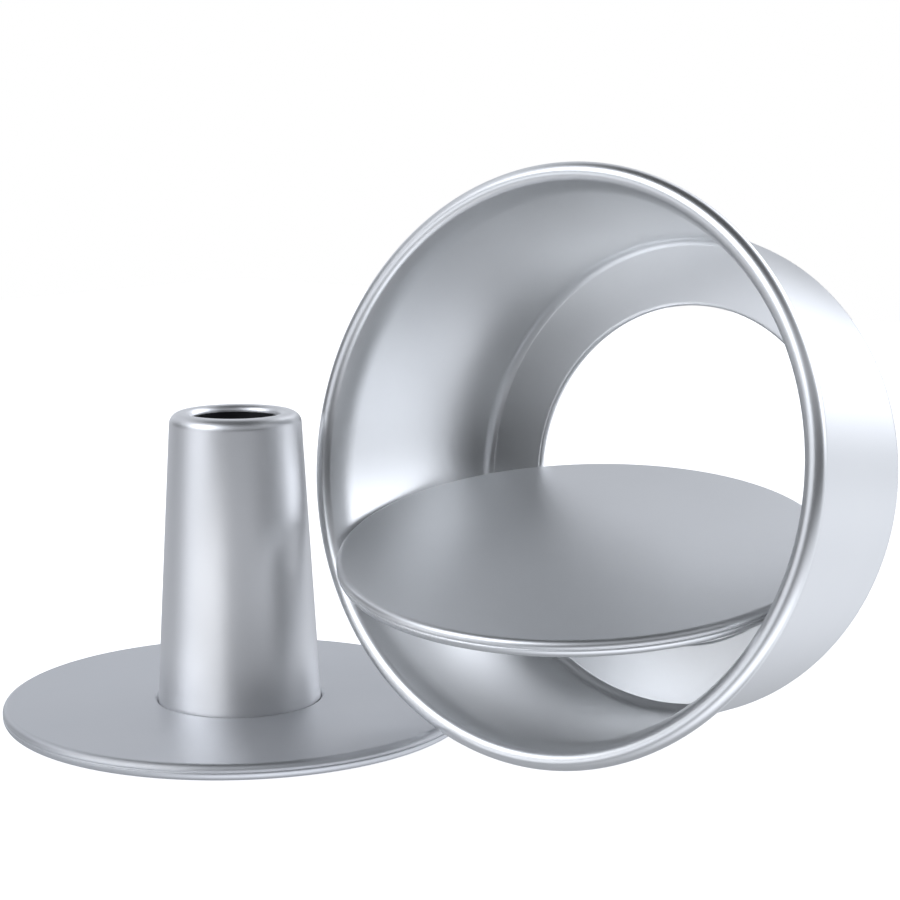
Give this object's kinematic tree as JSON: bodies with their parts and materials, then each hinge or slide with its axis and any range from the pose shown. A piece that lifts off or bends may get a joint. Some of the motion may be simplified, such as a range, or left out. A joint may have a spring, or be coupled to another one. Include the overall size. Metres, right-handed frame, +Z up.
{
  "type": "tube cake pan set",
  "caption": "Smooth tube cake pan in satin aluminium: a tapered ring with a rolled rim, a flat loose bottom leaning in it, and a loose bottom with a hollow tapered tube standing beside it.",
  "frame": {"origin": "centre of the laid-out set's footprint, on the surface that it stands on", "axes": "+Z up along the centre tube's axis, +X from the tube bottom towards the lying ring, and the ring's mouth faces -Y"},
  "size_m": [0.2616, 0.1839, 0.1705],
  "materials": {
    "satin_aluminium": "satin anodised"
  },
  "bodies": {
    "tube_bottom": {"tube_plate": "satin_aluminium", "centre_tube": "satin_aluminium"},
    "ring": {"pan_ring": "satin_aluminium"},
    "leaning_bottom": {"flat_bottom": "satin_aluminium"}
  },
  "joints": [
    {"name": "ring_lift", "type": "slide", "parent": "tube_bottom", "child": "ring", "axis": [0, 0, 1], "range_m": [0, 0.12]},
    {"name": "flat_draw", "type": "slide", "parent": "ring", "child": "leaning_bottom", "axis": [0, -0.9852, 0.1713], "range_m": [0, 0.12]}
  ]
}
